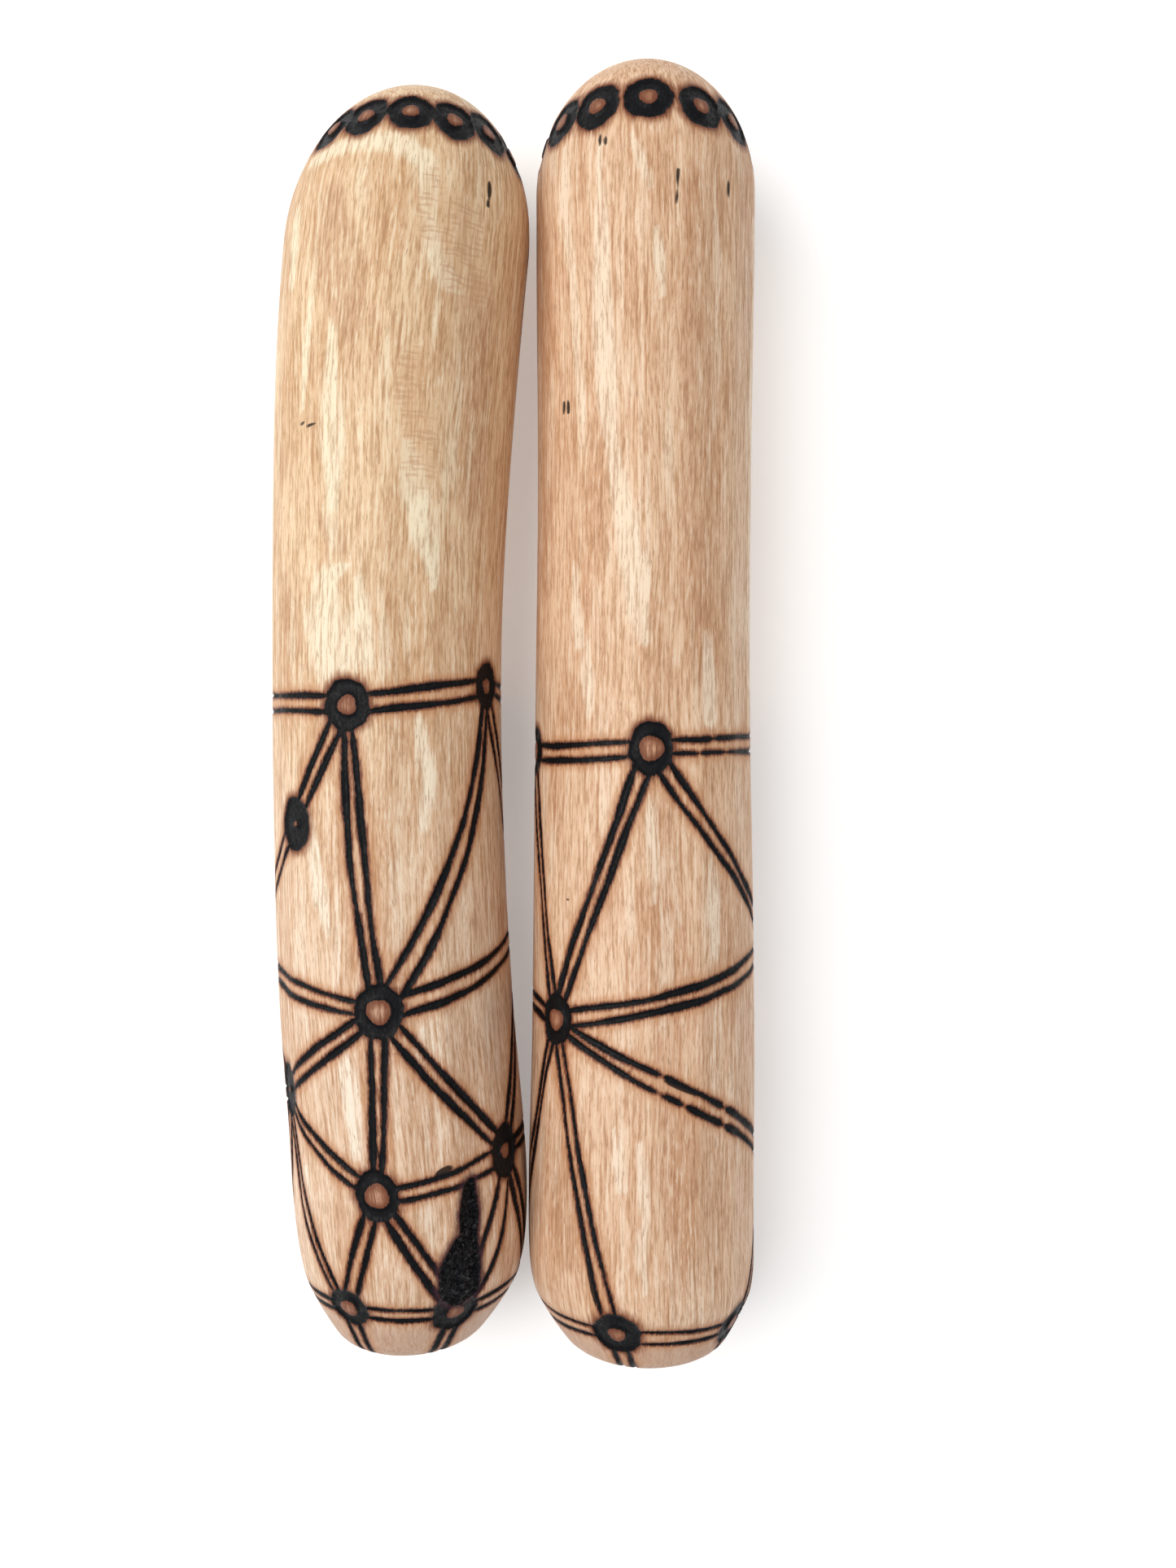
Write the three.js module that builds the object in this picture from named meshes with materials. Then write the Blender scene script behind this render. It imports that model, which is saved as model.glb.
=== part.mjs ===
import * as THREE from 'three';

// A pair of hand-carved hardwood claves, lying side by side. Millimetres, +Z up.
// Each clave is one solid stick along Y: a blunt nose with a cut shoulder at its low end,
// a slightly waisted body, and a round dome at its high end.
// Along a stick, "at" counts from the tip of its nose, and "radius" is half its thickness there.

const sidesAround = 40;         // facets round each stick
const stepsPerCurve = 8;        // lengthwise steps on each curve of the outline
const restFlatDepth = 0.6;      // wood shaved off the underside, so that a stick doesn't roll
const carvedSides = 9;          // the broad knife facets left round each stick
const carvedDepth = 0.12;       // how far the middle of a knife facet lies below its edges

const straight = {
  length: 234.5,
  footY: -104,                  // where the tip of the nose lies
  nose: { at: 4, radius: 15, fullness: 6.8 },
  shoulder: { at: 11.5, radius: 19.4 },
  belly: { at: 26, radius: 20.6 },
  waist: { at: 148, radius: 19.7 },
  dome: { at: 211, radius: 20.1 },
  centreX: [[0, 10.8], [14, 9.8], [60, 9.9], [110, 9.9], [176, 10.3], [234.5, 10.4]],
  carvedTurn: 0.2,              // radians by which the knife facets are turned
  colour: 0xd9b08a,
};

const curved = {
  length: 227.5,
  footY: -102.8,
  nose: { at: 4.4, radius: 13.8, fullness: 5 },
  shoulder: { at: 12.6, radius: 18.9 },
  belly: { at: 36, radius: 21.3 },
  waist: { at: 116, radius: 20.8 },
  dome: { at: 199, radius: 22.1 },
  centreX: [[0, -32.9], [14, -32], [34, -32.4], [64, -34.7], [115, -36.3], [172, -34.7], [227.5, -30.2]],
  carvedTurn: 0.6,
  colour: 0xd6ab7e,
};

// The outline from the tip of the nose to the tip of the dome: x is the radius, y runs along.
function outline({ length, nose, shoulder, belly, waist, dome }) {
  const rise = { at: shoulder.at - nose.at, radius: shoulder.radius - nose.radius };
  const bellyThird = (waist.at - belly.at) / 3;
  const waistThird = (dome.at - waist.at) / 3;
  const domeLength = length - dome.at;
  const path = new THREE.Path();
  path.moveTo(0, 0);
  path.bezierCurveTo(
    nose.fullness, 0,
    0.85 * nose.radius, 0.35 * nose.at,
    nose.radius, nose.at,
  );
  path.bezierCurveTo(
    nose.radius + 0.42 * rise.radius, nose.at + 0.35 * rise.at,
    nose.radius + 0.75 * rise.radius, nose.at + 0.7 * rise.at,
    shoulder.radius, shoulder.at,
  );
  path.bezierCurveTo(
    shoulder.radius + 1, shoulder.at + 2.5,
    belly.radius, belly.at - 0.6 * (belly.at - shoulder.at),
    belly.radius, belly.at,
  );
  path.bezierCurveTo(
    belly.radius, belly.at + bellyThird,
    waist.radius, waist.at - bellyThird,
    waist.radius, waist.at,
  );
  path.bezierCurveTo(
    waist.radius, waist.at + waistThird,
    dome.radius, dome.at - waistThird,
    dome.radius, dome.at,
  );
  path.bezierCurveTo(
    dome.radius, dome.at + 0.56 * domeLength,
    0.55 * dome.radius, length,
    0, length,
  );
  const points = path.getPoints(stepsPerCurve);
  points[0].x = 0;
  points[points.length - 1].x = 0;
  return points;
}

// The value at a place along the stick, on a smooth curve through the given stations.
function through(stations, at) {
  const last = stations.length - 1;
  let i = 0;
  while (i < last - 1 && at > stations[i + 1][0]) i += 1;
  const slope = (a, b) => (stations[b][1] - stations[a][1]) / (stations[b][0] - stations[a][0]);
  const [start, from] = stations[i];
  const [end, to] = stations[i + 1];
  const span = end - start;
  const t = THREE.MathUtils.clamp((at - start) / span, 0, 1);
  const leave = slope(Math.max(i - 1, 0), i + 1) * span;
  const arrive = slope(i, Math.min(i + 2, last)) * span;
  const u = 1 - t;
  return from * u * u * (1 + 2 * t) + leave * t * u * u + to * t * t * (3 - 2 * t) - arrive * t * t * u;
}

// How high the stick's centre runs: the body rests on its shaved flat all along.
function centreHeight(points, stick, at) {
  const onBody = THREE.MathUtils.clamp(at, stick.shoulder.at, stick.dome.at);
  const next = points.findIndex((point) => point.y >= onBody);
  const a = points[next - 1];
  const b = points[next];
  const t = (onBody - a.y) / (b.y - a.y);
  return THREE.MathUtils.lerp(a.x, b.x, t) - restFlatDepth;
}

// One stick: a turned solid, then carved, bent and shaved flat underneath.
function clave(name, stick) {
  const points = outline(stick);
  const geometry = new THREE.LatheGeometry(points, sidesAround);
  const position = geometry.attributes.position;
  for (let i = 0; i < position.count; i += 1) {
    const x = position.getX(i);
    const at = position.getY(i);
    const z = position.getZ(i);
    const around = Math.atan2(x, z);
    const hollow = carvedDepth * (1 + Math.cos(carvedSides * (around + stick.carvedTurn))) / 2;
    const carved = 1 - hollow / stick.belly.radius;
    const height = z * carved + centreHeight(points, stick, at);
    position.setXYZ(i, x * carved + through(stick.centreX, at), at + stick.footY, Math.max(height, 0));
  }
  geometry.computeVertexNormals();
  const material = new THREE.MeshStandardMaterial({ color: stick.colour, roughness: 0.55, metalness: 0 });
  const mesh = new THREE.Mesh(geometry, material);
  mesh.name = name;
  return mesh;
}

const pair = new THREE.Group();
pair.add(clave('curved_clave', curved));
pair.add(clave('straight_clave', straight));

// The origin is under the middle of the pair, on the surface that they lie on.
const middle = new THREE.Box3().setFromObject(pair).getCenter(new THREE.Vector3());
pair.position.set(-middle.x, -middle.y, 0);

export default pair;
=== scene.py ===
import math
import random

import bmesh
import bpy
import numpy as np
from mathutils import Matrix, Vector, geometry, kdtree, noise


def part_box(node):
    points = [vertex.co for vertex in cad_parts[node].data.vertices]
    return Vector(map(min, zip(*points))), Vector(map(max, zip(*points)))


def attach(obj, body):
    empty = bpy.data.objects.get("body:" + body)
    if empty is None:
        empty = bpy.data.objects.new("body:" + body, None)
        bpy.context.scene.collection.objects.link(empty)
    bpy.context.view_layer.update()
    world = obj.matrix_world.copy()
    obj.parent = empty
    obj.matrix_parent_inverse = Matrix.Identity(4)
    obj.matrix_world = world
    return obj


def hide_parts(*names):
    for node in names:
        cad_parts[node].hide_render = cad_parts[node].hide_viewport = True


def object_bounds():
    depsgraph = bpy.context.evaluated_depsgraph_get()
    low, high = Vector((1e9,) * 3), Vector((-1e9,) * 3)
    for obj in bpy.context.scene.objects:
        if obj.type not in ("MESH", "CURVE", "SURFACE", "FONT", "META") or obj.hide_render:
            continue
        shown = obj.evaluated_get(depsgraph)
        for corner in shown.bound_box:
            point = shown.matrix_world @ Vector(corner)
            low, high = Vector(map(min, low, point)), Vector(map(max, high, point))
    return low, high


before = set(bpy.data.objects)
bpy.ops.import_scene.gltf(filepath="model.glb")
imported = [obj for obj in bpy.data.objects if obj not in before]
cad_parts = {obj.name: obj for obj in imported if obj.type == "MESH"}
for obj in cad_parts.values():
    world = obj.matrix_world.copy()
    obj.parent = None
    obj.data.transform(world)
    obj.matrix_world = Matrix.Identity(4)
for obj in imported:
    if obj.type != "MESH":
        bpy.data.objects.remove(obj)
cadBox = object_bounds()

# Two hand-carved claves with burnt-in decoration. Sizes on a stick are in millimetres:
# "along" counts from the tip of its nose, "around" is degrees from the top, + towards +X.
mm = 0.001
random.seed(7)

carving = {
    "gridStep": 1.12,       # size of a face on plain wood
    "fineCuts": 2,          # extra cuts through the faces under a burnt mark
    "fineReach": 0.45,      # how far past a mark's edge the fine faces go
    "flatUnder": 0.6,       # wood shaved off the underside
    "flatSoftness": 0.12,
    "facetSoftness": 0.045,
    "dimple": 0.1,          # unevenness left by scraping by hand
    "pared": 0.22,          # shaved off the side that faces the other stick, so that the two stay clear
}

burning = {
    "lineWidth": 1.14,
    "lineDepth": 0.42,
    "lineGap": (1.9, 2.4, 1.9),   # between the two strokes of a link: start, middle, end
    "wobble": 0.13,
    "ringDepth": 0.42,
    "ringSize": (7.8, 8.8, 3.9),  # across, along and hole
    "wallWidth": 0.5,             # from a mark's edge down to its full depth
    "crustDepth": 0.6,
    "fleckDepth": 0.15,
    "tipRing": (7, 7, 3),
    "breakReach": 1.1,            # how far from a break its stroke starts to narrow
    "sampleStep": 0.4,
}

curvedClave = {
    "node": "curved_clave",
    "length": 227.5,
    "nose": (4.4, 13.8, 5),
    "shoulder": (12.6, 18.9),
    "belly": (36, 21.3),
    "waist": (116, 20.8),
    "dome": (199, 22.1),
    "bend": [(0, 1.0), (14, 1.9), (34, 1.5), (64, -0.8), (115, -2.4), (172, -0.8), (227.5, 3.7)],
    "neighbour": 90,        # degrees round to the side that faces the other stick
    "facets": [(-62, 0.35), (-38, 0.3), (-12, 0.25), (16, 0.45), (40, 0.4), (66, 0.3),
               (95, 0.5), (128, 0.4), (-150, 0.4), (-118, 0.5), (-88, 0.3)],
    "crown": {"along": 215.0, "tilt": (0.1, 0.5), "count": 15, "turn": 4.5, "size": (7.8, 9.0, 2.9)},
    "rings": {
        "bandLeft": (116, -11, 7.8, 9.2, 3.3),
        "bandRight": (120, 64, 6.6, 8.6, 2.6),
        "bandFarRight": (117, 128),
        "bandBack": (119, -172),
        "bandFarLeft": (118, -112),
        "blot": (96, -42, 7.2, 9.6, 0.9),
        "hub": (65, 0, 8.2, 9.4, 4.1),
        "hubRight": (77, 106),
        "hubBack": (66, 168),
        "hubLeft": (72, -106),
        "lowLeft": (49.3, -63.5, 6.8, 9.6, 0.8),
        "lowRight": (39, 60, 7.2, 9.8, 2.6),
        "lowMiddle": (34.5, -7, 7.4, 9, 4.1),
        "lowFarRight": (42, 138),
        "lowFarLeft": (40, -138),
        "nose1": (13.2, -28, 7.6, 8.2, 3.4),
        "nose2": (12.3, 30, 8.6, 8.8, 3),
        "nose3": (13, 90),
        "nose4": (12.5, 150),
        "nose5": (13, -148),
        "nose6": (12.6, -88),
    },
    "links": [
        ("bandLeft", "bandRight", (3.2, 3, 2.5), 0.4, 1.05),
        ("bandRight", "bandFarRight"),
        ("bandFarRight", "bandBack"),
        ("bandBack", "bandFarLeft"),
        ("bandFarLeft", "bandLeft", (2.6, 2.7, 2.9), 0, 0.9),
        ("bandLeft", "blot", (2.6, 2.6, 2), 0, 1.05),
        ("blot", "hubLeft", (2.4, 2.4, 2.4), 0, 0.8),
        ("bandLeft", "hub", (1.5, 2.5, 2), 0.5),
        ("bandRight", "hub", (1.3, 3, 3.2), -4.2),
        ("bandRight", "hubRight", (2, 2.6, 2), 0, 0.75),
        ("bandFarRight", "hubRight"),
        ("bandFarRight", "hubBack"),
        ("bandBack", "hubBack"),
        ("bandBack", "hubLeft"),
        ("hubLeft", "hub", (2.6, 2.4, 2.2), 0.3, 0.95),
        ("hub", "hubRight", (3, 3.1, 2.6), 0.6, 1.05),
        ("hubRight", "hubBack"),
        ("hubBack", "hubLeft"),
        ("hub", "lowLeft", (2.4, 2.6, 2), 0, 1.0),
        ("hub", "lowMiddle", (2.1, 2, 1.6), 0),
        ("hub", "lowRight", (2.4, 2.4, 2.4), 0.6),
        ("lowRight", "hubRight"),
        ("hubRight", "lowFarRight"),
        ("hubBack", "lowFarRight"),
        ("hubBack", "lowFarLeft"),
        ("hubLeft", "lowFarLeft"),
        ("hubLeft", "lowLeft"),
        ("lowLeft", "lowMiddle", (1.4, 2.3, 2), 0.6, 0.95),
        ("lowMiddle", "lowRight", (2, 2.4, 3), 0.5, 1.0),
        ("lowRight", "lowFarRight"),
        ("lowFarLeft", "lowLeft"),
        ("lowLeft", "nose1", (1, 2.2, 1.4), 2.2, 0.85),
        ("lowLeft", "nose6"),
        ("lowMiddle", "nose1", (2, 2.4, 2.6), 0),
        ("lowMiddle", "nose2", (2.2, 2.4, 2.4), 0),
        ("lowRight", "nose2", (2.2, 4.2, 2.4), -2.0, 0.85),
        ("lowRight", "nose3"),
        ("lowFarRight", "nose3"),
        ("lowFarRight", "nose4"),
        ("lowFarLeft", "nose5"),
        ("lowFarLeft", "nose6"),
        ("nose1", "nose2", (2.3, 2.8, 2.4), 0, 0.95),
        ("nose2", "nose3", (2.4, 2.8, 2.4), 0, 0.9),
        ("nose3", "nose4"),
        ("nose4", "nose5"),
        ("nose5", "nose6"),
        ("nose6", "nose1"),
    ],
    "breaks": [],
    "crust": [(35.5, 37, 0.9), (34.2, 36, 1.4), (30, 35.5, 2.1), (26.2, 35, 1.8), (24.4, 33, 2.8),
              (20.9, 31, 3.9), (17.5, 31, 4.0)],
    "flecks": [(203.8, 46, 3.2, 0.75, 0), (201.2, 45.5, 1.8, 0.6, 0), (163.6, -38, 1.6, 0.45, 80),
               (163.0, -32, 2.4, 0.45, 84), (38.2, 24, 3.2, 1.1, 68)],
    "chatter": [(198, 18, 8, 7), (193, 34, 10, 15), (187, 38, 4.5, 17), (169, 15, 8, 9), (158, 21, 8, 11)],
    "paleStreaksAndFacetHighlights": [
        [(209, -46, 1.5), (209.5, -20, 2.2), (209, 0, 2.2), (206, 14, 1.8), (198, 17, 1.2), (192, 20, 1.7),
         (187, 27, 2.2), (185, 33, 1)],
        [(201, -50, 1.0), (195, -51, 1.8), (188, -51, 0.9)],
        [(179, -22, 0.7), (170, -22, 1.8), (160, -20, 2.6), (149, -18, 1.0)],
        [(184, -34, 0.6), (176, -36, 1.2), (166, -38, 0.7)],
        [(159, 15, 1.2), (152, 19, 2.6), (145, 23, 2.4), (139, 28, 1.3), (136, 29, 0.5)],
        [(139, -12, 0.8), (137, -23, 2.4), (131, -24, 4.2), (124, -18, 4.5)],
        [(137, -6, 0.7), (130, -4, 1.8), (123, -2, 1.6)],
        [(114, 23, 0.9), (110, 24, 1.2), (104, 27, 1.5), (95, 24, 0.8)],
        [(99, -33, 0.6), (92, -30, 1.5), (84, -26, 1.8), (78, -22, 0.8)],
        [(61, -18, 0.7), (55, -17, 1.8), (46, -16, 1.4), (40, -15, 0.6)],
        [(62, 20, 0.8), (59, 19, 1.8), (56, 17, 0.8)],
        [(37, -48, 0.8), (31, -49, 1.8), (24, -50, 0.9)],
    ],
    "tanStreaksAndFacetShade": [
        [(138, -52, 1.5), (133, -48, 3.4), (127, -42, 2.8)],
        [(147, -24, 1.2), (144.5, -18, 1.8), (142, -15, 1.0)],
        [(200, -28, 3.4), (188, -22, 4.2), (178, -12, 2.4)],
        [(186, 44, 3.2), (172, 46, 3.8), (152, 48, 3.4)],
    ],
    "tone": 0.0,
    "tint": (1.0, 1.0, 1.0),
}

straightClave = {
    "node": "straight_clave",
    "length": 234.5,
    "nose": (4, 15, 6.8),
    "shoulder": (11.5, 19.4),
    "belly": (26, 20.6),
    "waist": (148, 19.7),
    "dome": (211, 20.1),
    "bend": [(0, 1.0), (14, 0), (60, 0.1), (110, 0.1), (176, 0.5), (234.5, 0.6)],
    "neighbour": -90,
    "facets": [(-70, 0.35), (-44, 0.4), (-18, 0.5), (12, 0.5), (38, 0.4), (60, 0.5), (84, 0.35),
               (112, 0.5), (150, 0.4), (-160, 0.4), (-128, 0.5), (-98, 0.4)],
    "crown": {"along": 219.4, "tilt": (0, 0.6), "count": 13, "turn": 0, "size": (8.5, 8.9, 3.1)},
    "rings": {
        "bandLeft": (110, -80, 7.8, 9, 3.4),
        "band": (110, 2, 7.9, 9, 4.2),
        "bandRight": (112, 108),
        "bandBack": (109, 176),
        "bandFarLeft": (111, -122),
        "hub": (63.3, -50, 7.8, 8.8, 3.6),
        "hubRight": (75, 98),
        "hubBack": (64, 160),
        "hubLeft": (67, -112),
        "lowRight": (35, 100),
        "lowBack": (38, -172),
        "lowLeft": (36, -134),
        "nose1": (10.6, -16, 8.6, 8.8, 3),
        "nose2": (8.8, 59, 8.8, 8.6, 3),
        "nose3": (10, 142),
        "nose4": (10, -106),
    },
    "links": [
        ("bandLeft", "band", (2.7, 2.5, 2.6), 0.6, 0.9),
        ("band", "bandRight", (2.4, 2.6, 2.4), 0, 0.85),
        ("bandRight", "bandBack"),
        ("bandBack", "bandFarLeft"),
        ("bandFarLeft", "bandLeft"),
        ("band", "hub", (2.7, 2.2, 2.0), 0),
        ("band", "hubRight", (2.6, 2, 2.6), 2.2, 1.05),
        ("bandLeft", "hub", (2.2, 2.0, 1.6), 0.5, 0.9),
        ("bandLeft", "hubLeft"),
        ("bandFarLeft", "hubLeft"),
        ("bandRight", "hubRight"),
        ("bandRight", "hubBack"),
        ("bandBack", "hubBack"),
        ("hub", "hubRight", (2.4, 2.6, 2.6), 0.6),
        ("hubRight", "hubBack"),
        ("hubBack", "hubLeft"),
        ("hubLeft", "hub", (2.2, 2.4, 2.0), 0),
        ("hub", "lowRight", (1.6, 2.9, 2.4), -1.0, 1.05),
        ("hub", "nose1", (1.5, 2.1, 2.4), 0, 0.8),
        ("hub", "nose4", (1.3, 2, 2.2), 0, 1.0),
        ("hubRight", "lowRight"),
        ("hubBack", "lowRight"),
        ("hubBack", "lowBack"),
        ("hubLeft", "lowBack"),
        ("hubLeft", "lowLeft"),
        ("lowRight", "nose2", (1.6, 2, 2.2), 0),
        ("lowRight", "nose3"),
        ("lowBack", "nose3"),
        ("lowLeft", "nose4"),
        ("lowLeft", "lowBack"),
        ("nose1", "nose2", (2.8, 2.6, 2.4), 0, 0.85),
        ("nose2", "nose3"),
        ("nose3", "nose4"),
        ("nose4", "nose1", (2.6, 2.6, 2.3), 0, 0.8),
    ],
    "breaks": [(55.2, 7.1), (52.3, 5.4), (48.7, 42.1), (45.5, 41.3), (50.0, 18.4), (112.0, 35.6),
               (109.4, 26.6), (109.6, 44.2)],
    "crust": [],
    "flecks": [(212.8, -25, 2.0, 0.5, 0), (212.5, -22, 1.6, 0.5, 0), (206.5, 13.6, 3.6, 0.5, 4),
               (202.6, 13, 2.6, 0.45, 4), (206.5, 44, 3.2, 0.6, 0), (169.3, -48.2, 2.6, 0.55, 2),
               (169.0, -45, 2.8, 0.7, -2), (84.3, -42, 1.6, 0.55, 0), (21.2, -26.5, 10.5, 1.0, -8),
               (53.0, 17, 7.0, 0.95, 114)],
    "chatter": [],
    "paleStreaksAndFacetHighlights": [
        [(212, -24, 0.5), (202, -24, 1.0), (190, -24, 1.9), (177, -22, 2.4), (165, -20, 1.8), (158, -17, 1.6),
         (148, -11, 2.4), (138, -5, 2.8), (128, -2, 1.2)],
        # painted highlight: the bright line along a facet's edge
        [(214, -47, 0.7), (203, -47, 1.2), (192, -42, 1.3), (178, -38, 1.2), (166, -34, 0.6)],
        [(213, -9, 0.6), (208, -4, 1.3), (204, 1, 0.6)],
        [(197, 3, 0.6), (192, 5, 1.2), (186, 7, 0.6)],
        [(142, -39, 0.6), (135, -38, 1.2), (128, -35, 1.3)],
        [(128, -32, 0.6), (122, -31, 1.4), (116, -30, 0.9)],
        [(130, 31, 0.8), (122, 33, 1.7), (115, 33, 1.5)],
        [(102, 1, 0.6), (96, 2, 1.2), (90, 4, 1.0), (84, 3, 0.5)],
        [(92, 34, 0.7), (84, 35, 1.8), (75, 36, 1.2)],
        # painted highlight: a thin lighter band along the right rim
        [(205, 74, 0.8), (180, 76, 1.6), (150, 76, 1.8), (122, 72, 1.2)],
        [(46, -15, 0.6), (41, -13, 1.2), (36, -11, 0.8)],
        [(44, -3, 0.6), (38, -1, 1.2), (31, 0, 0.9), (26, -2, 1.2), (19, 0, 0.6)],
    ],
    "tanStreaksAndFacetShade": [
        # painted shade: the dark band of a knife facet that faces away from the light
        [(208, 22, 1.8), (190, 23, 3.0), (170, 24, 3.4), (150, 25, 3.4), (135, 26, 3.0), (122, 26, 1.6)],
        # painted shade: the facet next to the other stick, which keeps the light off it
        [(200, -66, 3), (170, -66, 4), (140, -66, 3.2)],
        [(47, 20, 1.6), (40, 21, 3.4), (28, 21, 3.8), (20, 20, 2.4)],
        [(46, -40, 1.6), (36, -44, 3.6), (24, -42, 3.4)],
    ],
    "tone": 1.0,
    "tint": (0.97, 0.91, 0.865),
}


def outlineOf(shape):
    # even steps along the outline: (along, radius) from the nose's tip to the dome's
    noseAt, noseRadius, fullness = shape["nose"]
    shoulderAt, shoulderRadius = shape["shoulder"]
    bellyAt, bellyRadius = shape["belly"]
    waistAt, waistRadius = shape["waist"]
    domeAt, domeRadius = shape["dome"]
    length = shape["length"]
    riseAt, riseRadius = shoulderAt - noseAt, shoulderRadius - noseRadius
    bellyThird, waistThird, domeLength = (waistAt - bellyAt) / 3, (domeAt - waistAt) / 3, length - domeAt
    curves = [
        ((0, 0), (0, fullness), (0.35 * noseAt, 0.85 * noseRadius), (noseAt, noseRadius)),
        ((noseAt, noseRadius), (noseAt + 0.35 * riseAt, noseRadius + 0.42 * riseRadius),
         (noseAt + 0.7 * riseAt, noseRadius + 0.75 * riseRadius), (shoulderAt, shoulderRadius)),
        ((shoulderAt, shoulderRadius), (shoulderAt + 2.5, shoulderRadius + 1),
         (bellyAt - 0.6 * (bellyAt - shoulderAt), bellyRadius), (bellyAt, bellyRadius)),
        ((bellyAt, bellyRadius), (bellyAt + bellyThird, bellyRadius),
         (waistAt - bellyThird, waistRadius), (waistAt, waistRadius)),
        ((waistAt, waistRadius), (waistAt + waistThird, waistRadius),
         (domeAt - waistThird, domeRadius), (domeAt, domeRadius)),
        ((domeAt, domeRadius), (domeAt + 0.56 * domeLength, domeRadius),
         (length, 0.55 * domeRadius), (length, 0)),
    ]
    points = []
    for curve in curves:
        knots = [Vector((along, radius, 0)) for along, radius in curve]
        points += geometry.interpolate_bezier(*knots, 60)[1 if points else 0:]
    path = np.array([(p.x, p.y) for p in points])
    travel = np.concatenate([[0], np.cumsum(np.hypot(*np.diff(path, axis=0).T))])
    steps = round(travel[-1] / carving["gridStep"])
    even = np.linspace(0, travel[-1], steps + 1)
    return even, np.interp(even, travel, path[:, 0]), np.interp(even, travel, path[:, 1])


def turnedSolid(shape):
    _, along, radius = shape["outline"]
    solid = bmesh.new()
    corners = [solid.verts.new((0, a, -r)) for a, r in zip(along, radius)]   # starts underneath
    rib = [solid.edges.new(pair) for pair in zip(corners, corners[1:])]
    around = round(math.tau * shape["belly"][1] / carving["gridStep"])
    bmesh.ops.spin(solid, geom=corners + rib, cent=(0, 0, 0), axis=(0, 1, 0), dvec=(0, 0, 0),
                   angle=math.tau, steps=around, use_merge=True, use_duplicate=False)
    bmesh.ops.remove_doubles(solid, verts=solid.verts, dist=0.002)
    bmesh.ops.recalc_face_normals(solid, faces=solid.faces)
    return solid


def onSurface(shape, travel, around):
    # a point on the turned solid, from its distance along the outline and its angle
    steps, along, radius = shape["outline"]
    a, r = np.interp(travel, steps, along), np.interp(travel, steps, radius)
    turn = np.radians(around)
    return np.stack([r * np.sin(turn), a, r * np.cos(turn)], axis=-1)


def travelAt(shape, along):
    steps, alongs, _ = shape["outline"]
    return float(np.interp(along, alongs, steps))


def smooth(t):
    t = np.clip(t, 0, 1)
    return t * t * (3 - 2 * t)


def ringFrame(shape, ring):
    along, around, *size = ring
    across, lengthways, hole = size or burning["ringSize"]
    travel = travelAt(shape, along)
    centre = onSurface(shape, travel, around)
    ahead = onSurface(shape, travel + 0.5, around) - onSurface(shape, travel - 0.5, around)
    ahead /= np.linalg.norm(ahead)
    turn = math.radians(around)
    sideways = np.array([math.cos(turn), 0, -math.sin(turn)])
    return {"centre": centre, "ahead": ahead, "sideways": sideways, "travel": travel, "around": around,
            "half": (across / 2, lengthways / 2), "hole": hole / 2, "phase": random.uniform(0, math.tau)}


def crownRings(shape):
    crown = shape["crown"]
    rings = []
    for i in range(crown["count"]):
        around = crown["turn"] + 360 * i / crown["count"] + random.uniform(-1.2, 1.2)
        around = (around + 180) % 360 - 180
        turn = math.radians(around)
        tilt = crown["tilt"][0] * math.sin(turn) + crown["tilt"][1] * math.cos(turn)
        along = crown["along"] + tilt + random.uniform(-0.35, 0.35)
        rings.append(ringFrame(shape, (along, around, *crown["size"])))
    return rings


def strokePath(shape, start, end, offset, bow, width):
    # one stroke between two places, offset to one side, with a hand's wobble and dwell marks
    r0 = np.interp([start["travel"], end["travel"]], shape["outline"][0], shape["outline"][2])
    turn = (end["around"] - start["around"] + 180) % 360 - 180
    up = end["travel"] - start["travel"]
    meanRadius = max(r0.mean(), 4)
    side = math.radians(turn) * meanRadius
    span = math.hypot(up, side)
    direction = (side / span, up / span)
    across = (direction[1], -direction[0])
    reach = [0.82 * math.hypot(place["half"][0] * direction[0], place["half"][1] * direction[1])
             for place in (start, end)]
    count = max(4, round((span - sum(reach)) / burning["sampleStep"]))
    t = np.linspace(reach[0] / span, 1 - reach[1] / span, count)
    phases = [random.uniform(0, math.tau) for _ in range(6)]
    distance = t * span
    wave = (np.sin(distance / 2.6 + phases[0]) * 0.4 + np.sin(distance / 1.1 + phases[1]) * 0.15
            + np.sin(distance / 6.5 + phases[2]) * 1.0)
    shift = offset(t) + burning["wobble"] * wave + bow * 4 * t * (1 - t)
    travel = start["travel"] + up * t + across[1] * shift
    radius = np.maximum(np.interp(travel, shape["outline"][0], shape["outline"][2]), 1.5)
    around = start["around"] + turn * t + np.degrees(across[0] * shift / radius)
    fade = np.minimum(distance - distance[0], distance[-1] - distance)
    swell = (1 + 0.09 * np.sin(distance / 1.9 + phases[3]) + 0.05 * np.sin(distance / 0.8 + phases[4])
             + 0.2 * np.sin(distance / 5.1 + phases[5]))
    half = width / 2 * swell * (0.7 + 0.3 * smooth(fade / 2.5))
    return onSurface(shape, travel, around), half


def linkStrokes(shape, rings):
    strokes = []
    usual = (burning["lineGap"], 0, burning["lineWidth"])
    for start, end, *how in shape["links"]:
        gap, bow, width = (*how, *usual[len(how):])
        for sideSign in (-1, 1):
            def offset(t, sign=sideSign):
                return sign * 0.5 * np.interp(t, (0, 0.5, 1), gap)
            points, half = strokePath(shape, rings[start], rings[end], offset, bow, width)
            for along, around in shape["breaks"]:   # where the wire was lifted
                lifted = onSurface(shape, travelAt(shape, along), around)
                away = np.linalg.norm(points - lifted, axis=1)
                half *= 0.1 + 0.9 * smooth(away / burning["breakReach"])
            strokes.append((points, half, np.full(len(half), burning["lineDepth"])))
    return strokes


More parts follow.
